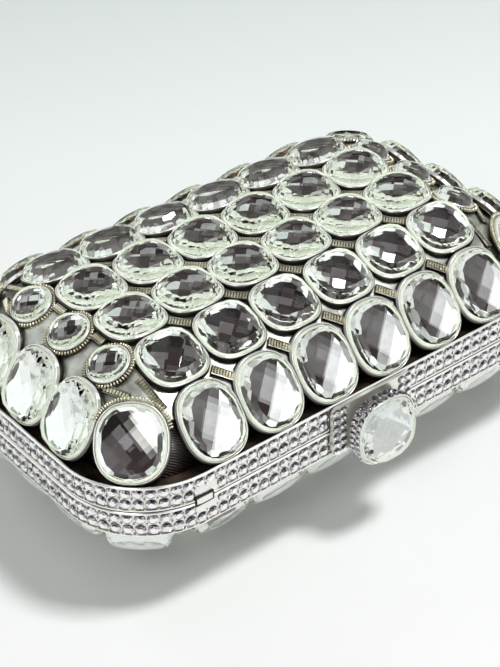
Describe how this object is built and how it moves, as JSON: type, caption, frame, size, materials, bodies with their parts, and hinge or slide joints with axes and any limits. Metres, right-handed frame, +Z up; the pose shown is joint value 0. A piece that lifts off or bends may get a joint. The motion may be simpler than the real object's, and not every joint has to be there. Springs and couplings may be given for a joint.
{
  "type": "minaudiere",
  "caption": "Hard box clutch of two domed crystal-set halves on jewelled frames, hinged at the back and closed by a crystal push button.",
  "frame": {"origin": "centre of the bounding box, on the surface that the clutch lies on", "axes": "+X along the clutch's length, -Y towards the clasp at the front, +Z up through the upper half"},
  "size_m": [0.1494, 0.1101, 0.0598],
  "materials": {
    "crystal": "faceted, mirror-backed",
    "pave_crystal": "faceted, mirror-backed",
    "bright_silver": "polished",
    "cream_silver": "polished",
    "satin_shell": "satin",
    "lining": "satin cloth",
    "steel": "brushed"
  },
  "bodies": {
    "base": {"lower_frame": "cream_silver", "lower_shell": "satin_shell", "lower_lining": "lining", "lower_face_bezels": "bright_silver", "lower_wall_bezels": "bright_silver", "lower_corner_bezels": "bright_silver", "lower_round_bezels": "bright_silver", "lower_face_crystals": "crystal", "lower_wall_crystals": "crystal", "lower_corner_crystals": "crystal", "lower_round_crystals": "crystal", "lower_bridges": "bright_silver", "lower_band_crystals": "pave_crystal", "locating_blocks": "cream_silver", "lower_hinge_leaves": "cream_silver", "hinge_pins": "steel", "clasp_plate": "cream_silver", "clasp_plate_crystals": "pave_crystal", "return_spring": "steel", "catch_spring": "steel", "catch_screws": "steel"},
    "lid": {"upper_frame": "cream_silver", "upper_shell": "satin_shell", "upper_lining": "lining", "upper_face_bezels": "bright_silver", "upper_wall_bezels": "bright_silver", "upper_corner_bezels": "bright_silver", "upper_round_bezels": "bright_silver", "upper_face_crystals": "crystal", "upper_wall_crystals": "crystal", "upper_corner_crystals": "crystal", "upper_round_crystals": "crystal", "upper_bridges": "bright_silver", "upper_band_crystals": "pave_crystal", "upper_hinge_leaves": "cream_silver", "strike": "steel"},
    "button": {"clasp_collar": "bright_silver", "clasp_collar_crystals": "pave_crystal", "clasp_bezel": "bright_silver", "clasp_crystal": "crystal", "clasp_stem": "steel"}
  },
  "joints": [
    {"name": "lid_hinge", "type": "hinge", "parent": "base", "child": "lid", "pos_m": [0, 0.05315, 0.0299], "axis": [-1, 0, 0], "range_deg": [0, 100], "deforming": ["catch_spring"]},
    {"name": "clasp_press", "type": "slide", "parent": "base", "child": "button", "axis": [0, 1, 0], "range_m": [0, 0.001], "stiffness_N_per_m": 200, "springref_m": -0.001, "deforming": ["return_spring", "catch_spring"]}
  ]
}
